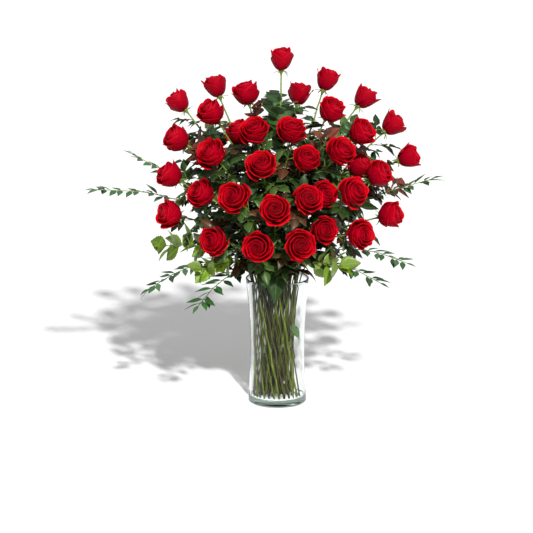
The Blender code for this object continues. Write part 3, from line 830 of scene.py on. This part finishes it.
def compound_leaf(leaves, stalks, root, way, wide, size, rng):
    """A rose leaf: five toothed leaflets along a thin stalk."""
    thick = np.cross(way, wide)
    length = LEAF_STALK * size
    tone = rng.uniform(0, 1)
    bronze = rng.uniform(0.6, 1.0) if rng.uniform() < BRONZE_SHARE else 0.0
    stalk = [root + way * length * t - thick * 0.10 * length * t ** 2
             for t in np.linspace(0, 1, STALK_RINGS)]
    stalks.add_tube(stalk, np.linspace(0.0010, 0.0006, STALK_RINGS), STALK_SIDES, 0.2, 0.2)
    for spot, turn, share in LEAFLETS:
        ring = stalk[round(spot * (STALK_RINGS - 1))]
        angle = math.radians(turn + rng.uniform(-10, 10))
        leaf_way = unit(way * math.cos(angle) + wide * math.sin(angle) - thick * rng.uniform(-0.1, 0.45))
        leaf_wide = unit(np.cross(thick, leaf_way))
        grow = share * size * rng.uniform(0.9, 1.15)
        points, u, v = leaf_sheet(ring, leaf_way, leaf_wide, LEAFLET_LENGTH * grow, LEAFLET_WIDTH * grow,
                                  OVATE, rng.uniform(0.10, 0.45), rng.uniform(0.0, 0.30),
                                  LEAFLET_TEETH, columns=3)
        leaves.add(points, u, v, tone, bronze, LEAF_THICKNESS)


def room_for(places, heads):
    """How far the nearest of some places is from any rose head or the clear space in front of it."""
    gaps = []
    for head in heads:
        ahead = np.clip((places - head.middle) @ FRONT, 0.0, CLEAR_IN_FRONT)
        nearest = head.middle + ahead[:, None] * FRONT
        clear = head.radius * (1 - NARROWING * ahead)
        gaps.append((np.linalg.norm(places - nearest, axis=1) - clear).min())
    return min(gaps)


def free_way(root, along, heads, turn, size):
    """The first way round the stem with room for a leaf, or None, and the leaf's size."""
    side = unit(np.cross(along, UP + 0.01))
    lift = np.cross(side, along)
    outward = unit(np.array([root[0], root[1], 0.0]))
    for shrink in SIZES_TRIED:
        for attempt in range(TURNS_TRIED):
            angle = turn + attempt * math.tau / TURNS_TRIED
            out = side * math.cos(angle) + lift * math.sin(angle)
            way = unit(along * 0.5 + out * 0.95 + outward * 0.35 - UP * 0.15)
            if room_for(root + way * LEAF_REACH * size * shrink, heads) > LEAF_ROOM * shrink:
                return way, size * shrink
    return None, size


def rose_leaves(route, heads, head, rng):
    """The leaves and stalks up a rose's stem, each turned to where the heads leave room."""
    leaves, stalks = Patches(), Patches()
    lengths = np.append(0, np.cumsum(np.linalg.norm(np.diff(route, axis=0), axis=1)))
    distance = lengths[np.argmax(route[:, 2] > RIM_HEIGHT + FIRST_LEAF)]
    on_top = head.middle[2] > RIM_HEIGHT + TOP_BUDS_ABOVE
    stop = lengths[-1] - (BARE_BELOW_TOP_BUDS if on_top else BARE_BELOW_HEAD)
    turn = rng.uniform(0, math.tau)
    while distance < stop:
        index = min(np.searchsorted(lengths, distance + rng.uniform(0, 0.008)), len(route) - 2)
        distance += LEAF_SPACING * (DENSER if route[index][2] > DENSE_ABOVE else 1.0)
        along = unit(route[index + 1] - route[index])
        size = rng.uniform(0.70, 1.05)
        turn += GOLDEN_TURN
        way, size = free_way(route[index], along, heads, turn, size)
        if way is not None:
            wide = unit(np.cross(unit(along + UP * 0.6), way))
            compound_leaf(leaves, stalks, route[index], way, wide, size, rng)
    return leaves, stalks


def add_single_leaf(leaves, root, look, size=1.0):
    way, face, length, width, fold, droop, teeth, tone = look
    way = unit(np.array(way))
    wide = unit(np.cross(np.array(face), way))
    points, u, v = leaf_sheet(root, way, wide, length * size, width * size, OVATE, fold, droop, teeth)
    leaves.add(points, u, v, tone, 0.0, LEAF_THICKNESS)


def nearest_stem(routes, place):
    """The rose whose stem passes nearest to a place, and the point where it does."""
    def gap(point):
        return np.linalg.norm(point - place)

    spots = {node: min(route, key=gap) for node, route in routes.items()}
    node = min(spots, key=lambda name: gap(spots[name]))
    return node, spots[node]


def build_rose_leaves(routes, heads, shaders):
    """The leaves on the roses' own stems, with the single ones at the rim and in the vase."""
    def depth_at_rim(node):
        return routes[node][np.argmax(routes[node][:, 2] > RIM_HEIGHT)][1]

    rim_sizes = dict(zip(sorted(routes, key=depth_at_rim), RIM_LEAVES))
    stray_node, stray_root = nearest_stem(routes, STRAY_LEAF_AT)
    for number, (node, route) in enumerate(routes.items()):
        rng = np.random.default_rng(ROSE_LEAF_SEED + number)
        leaves, stalks = rose_leaves(route, heads, heads[number], rng)
        if node in rim_sizes:
            root = route[np.argmax(route[:, 2] > RIM_HEIGHT + RIM_LEAF_ROOT)]
            add_single_leaf(leaves, root, RIM_LEAF, rim_sizes[node])
        if node == stray_node:
            add_single_leaf(leaves, stray_root, STRAY_LEAF)
        for sheets, name, look, slot in ((leaves, "leaves", "rose_leaf", "rose_leaf"),
                                         (stalks, "leaf_stalks", "stem", "rose_stem")):
            if sheets.corners:
                thing = sheets.to_object(f"{node}_{name}", shaders[look])
                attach(thing, "root")


# ---------------- sprays

# Each kind of spray: its leaves' outline, fold, teeth, length and width beside the CAD plates', slot.
SPRAY_LOOKS = {
    "ruscus": (LANCE, 0.18, 0, 1.15, 1.35, "ruscus"),
    "leaf": (OVATE, 0.22, 8, 0.92, 1.20, "spray_leaf"),
    "bronze": (OVATE, 0.30, 7, 0.92, 1.20, "bronze_leaf"),
}
LIME_SPRAYS = ("leaf_spray_1", "leaf_spray_2", "leaf_spray_3")
SPRAY_STEM_SIDES = 7
SPRAY_TAPER = (1.15, 0.5)       # its stem's radius at the cut end and the tip, beside the CAD's
PLATE_STALK = 0.12              # a leaf's stalk, as a share of its CAD plate's length
PLATE_STALK_RADII = (0.0009, 0.0007, 0.0006)
EXTRA_LEAVES = ((0.33, 1), (0.67, -1))      # between two roots: how far along the stem, on which side
TIP_LEAF_LENGTH = 0.020         # the tip's leaf is no longer than this
SPRAY_LEAF_ROOM = 0.003
SPRAY_LEAF_REACH = np.array([[0.3], [0.6], [1.0]])      # places along a leaf, as shares of its length


def cad_leaf_axes(corners, route):
    """A leaf's root, length, direction, width and width's direction, from its CAD plate's corners."""
    gaps = np.linalg.norm(corners[:, None] - route[None], axis=2)
    root = route[gaps.min(axis=0).argmin()]
    farthest = corners[np.linalg.norm(corners - root, axis=1).argsort()[-2:]]
    tip = farthest.mean(axis=0)
    length = np.linalg.norm(tip - root)
    way = (tip - root) / length
    spread = corners - root
    spread = spread - np.outer(spread @ way, way)
    _, _, axes = np.linalg.svd(spread)
    wide = unit(axes[0] - way * np.dot(axes[0], way))
    return root, length, way, wide, np.abs(spread @ wide).max() * 2


def leaves_between(route, plates, heads, rng):
    """More leaves: two between each two roots, on alternate sides of the stem, and one at the tip."""
    extra = []
    spots = sorted({int(np.linalg.norm(route - plate[0], axis=1).argmin()) for plate in plates})
    for number, (low, high) in enumerate(zip(spots, spots[1:] + [len(route) - 1])):
        if high <= low:
            continue
        along = unit(route[high] - route[low])
        for share, sign in EXTRA_LEAVES:
            root = route[low] + (route[high] - route[low]) * share
            _, length, way, wide, width = plates[(2 * number + 1) % len(plates)]
            side = unit(way - along * np.dot(way, along)) * sign
            new_way = unit(along * 0.60 + side * 0.75 + rng.normal(size=3) * 0.22)
            new_wide = unit(np.cross(np.cross(way, wide), new_way))
            extra.append((root, length * rng.uniform(0.8, 1.0), new_way, new_wide, width))
    along = unit(route[-1] - route[-2])
    _, length, _, _, width = plates[-1]
    extra.append((route[-1], min(length, TIP_LEAF_LENGTH), along, unit(np.cross(along, UP)), width * 0.8))
    return [leaf for leaf in extra
            if room_for(leaf[0] + SPRAY_LEAF_REACH * leaf[2] * leaf[1], heads) > SPRAY_LEAF_ROOM]


def build_spray(node, heads, shaders, rng):
    """A spray: its smooth stem, a real leaf blade for each CAD leaf plate, and more between them."""
    kind = node.split("_")[0]
    outline, fold, teeth, long, broad, leaf_slot = SPRAY_LOOKS[kind]
    look = "lime" if node in LIME_SPRAYS else kind
    centres, radii, leaves = stem_and_leaves(node, SPRAY_RING_GAP)
    route, widths = smooth_route(centres, radii, STEM_STEP)
    taper = np.linspace(*SPRAY_TAPER, len(route))
    stalks, blades = Patches(), Patches()
    stalks.add_tube(route, widths * taper, SPRAY_STEM_SIDES, rng.uniform(0, 0.6), 0.0)
    plates = [cad_leaf_axes(corners, route) for corners in leaves]
    plates += leaves_between(route, plates, heads, rng)
    for root, length, way, wide, width in plates:
        if np.cross(way, wide)[2] < 0:
            wide = -wide
        stalk_end = root + way * length * PLATE_STALK
        stalk = [root, (root + stalk_end) / 2, stalk_end]
        stalks.add_tube(stalk, PLATE_STALK_RADII, STALK_SIDES, 0.3, 0.0)
        points, u, v = leaf_sheet(stalk_end, way, wide, length * long, width * broad, outline, fold,
                                  rng.uniform(0.02, 0.14), teeth)
        blades.add(points, u, v, rng.uniform(0, 1), 0.0, LEAF_THICKNESS)
    stem = stalks.to_object(node + "_stem", shaders["stem"])
    blade = blades.to_object(node + "_leaves", shaders[look])
    for thing, slot in ((stem, "rose_stem"), (blade, leaf_slot)):
        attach(thing, "root")
        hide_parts(node)


# ---------------- floor, lights and camera

FLOOR_REACH = 12.0
FLOOR_COLOUR = (0.86, 0.86, 0.86, 1.0)
KEY_FROM = (0.30, -1.35, 1.0)
KEY_STRENGTH = 4.4
KEY_ANGLE = 2.6                 # degrees across, which softens the shadow's edge
LOW_LIGHT = 0.30
HIGH_LIGHT = 0.62
CAMERA_DISTANCE = 9.0
CAMERA_RISE = math.radians(13.5)
SENSOR_WIDTH = 36.0
VIEW_WIDTH = 1.119              # metres across the picture at the vase
VIEW_CENTRE = (-0.0227, 0.0, 0.293)


def build_floor():
    """A plain pale floor that runs far past the picture's edges."""
    mesh = bpy.data.meshes.new("floor")
    corners = [(x * FLOOR_REACH, y * FLOOR_REACH, 0) for x, y in ((-1, -1), (1, -1), (1, 1), (-1, 1))]
    mesh.from_pydata(corners, [], [(0, 1, 2, 3)])
    floor = add_object("floor", mesh)
    shader = Shader("floor")
    shader.set(Base_Color=FLOOR_COLOUR, Roughness=0.9, Specular_IOR_Level=0.0)
    mesh.materials.append(shader.material)


def build_world():
    """A plain white studio dome, dimmer low down than overhead."""
    world = bpy.data.worlds.new("studio")
    bpy.context.scene.world = world
    world.use_nodes = True
    tree = world.node_tree
    place = tree.nodes.new("ShaderNodeTexCoord")
    split = tree.nodes.new("ShaderNodeSeparateXYZ")
    ramp = tree.nodes.new("ShaderNodeValToRGB")
    tree.links.new(place.outputs["Generated"], split.inputs[0])
    tree.links.new(split.outputs[2], ramp.inputs[0])
    for element, light in zip(ramp.color_ramp.elements, (LOW_LIGHT, HIGH_LIGHT)):
        element.color = (light, light, light, 1.0)
    tree.links.new(ramp.outputs[0], tree.nodes["Background"].inputs[0])


def build_lights():
    """A key light from the front right, well above the bouquet, as a soft-edged sun."""
    key = bpy.data.lights.new("key", "SUN")
    key.energy = KEY_STRENGTH
    key.angle = math.radians(KEY_ANGLE)
    light = add_object("key", key)
    light.rotation_euler = (-Vector(KEY_FROM)).to_track_quat("-Z", "Y").to_euler()


def build_camera():
    """A long-lens camera in front of the bouquet and a little above it."""
    camera = bpy.data.cameras.new("camera")
    camera.sensor_width = SENSOR_WIDTH
    camera.lens = SENSOR_WIDTH * CAMERA_DISTANCE / VIEW_WIDTH
    holder = add_object("camera", camera)
    target = Vector(VIEW_CENTRE)
    back = Vector((0.0, -math.cos(CAMERA_RISE), math.sin(CAMERA_RISE)))
    holder.location = target + back * CAMERA_DISTANCE
    holder.rotation_euler = (target - holder.location).to_track_quat("-Z", "Y").to_euler()
    bpy.context.scene.camera = holder
    bpy.context.scene.view_settings.view_transform = "Standard"


# ---------------- everything

# Each kind of leaf's material: its name, the colours of its upper face, underside and veins and,
# where they aren't the usual ones, its roughness and how many side veins it has.
LEAF_LOOKS = {
    "rose_leaf": ("rose_leaf", (0.016, 0.048, 0.007), (0.085, 0.13, 0.05), (0.09, 0.15, 0.03)),
    "ruscus": ("ruscus_leaf", (0.026, 0.095, 0.022), (0.07, 0.15, 0.05), (0.09, 0.19, 0.06), 0.34, 2.0),
    "lime": ("lime_leaf", (0.120, 0.215, 0.004), (0.14, 0.22, 0.03), (0.26, 0.38, 0.05)),
    "leaf": ("broad_leaf", (0.022, 0.085, 0.014), (0.09, 0.16, 0.06), (0.11, 0.22, 0.05)),
    "bronze": ("bronze_leaf", (0.12, 0.022, 0.012), (0.14, 0.06, 0.045), (0.22, 0.10, 0.05)),
}


def build_roses(roses, walks, heads, shaders):
    """Every rose's petals and stem; returns each stem's route from its cut end to its calyx."""
    routes = {}
    for number, (node, head) in enumerate(zip(roses, heads)):
        rng = np.random.default_rng(ROSE_SEED + number)
        petals = build_petals(node, head, head_kind(head), shaders["petal"], rng)
        stem, routes[node] = build_stem(node, *walks[node], head, shaders["stem"], rng)
        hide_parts(node)
        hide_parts(node)
    return routes


def main():
    shaders = {"petal": petal_material(), "stem": stem_material()}
    shaders.update((kind, leaf_material(*look)) for kind, look in LEAF_LOOKS.items())
    build_vase(glass_material())
    roses = sorted(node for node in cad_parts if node.startswith("rose_"))
    walks = {node: stem_and_leaves(node, ROSE_RING_GAP)[:2] for node in roses}
    heads = [Head(*walks[node]) for node in roses]
    routes = build_roses(roses, walks, heads, shaders)
    build_rose_leaves(routes, heads, shaders)
    for number, node in enumerate(sorted(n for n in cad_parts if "_spray_" in n)):
        build_spray(node, heads, shaders, np.random.default_rng(SPRAY_SEED + number))
    build_floor()
    build_world()
    build_lights()
    build_camera()


main()
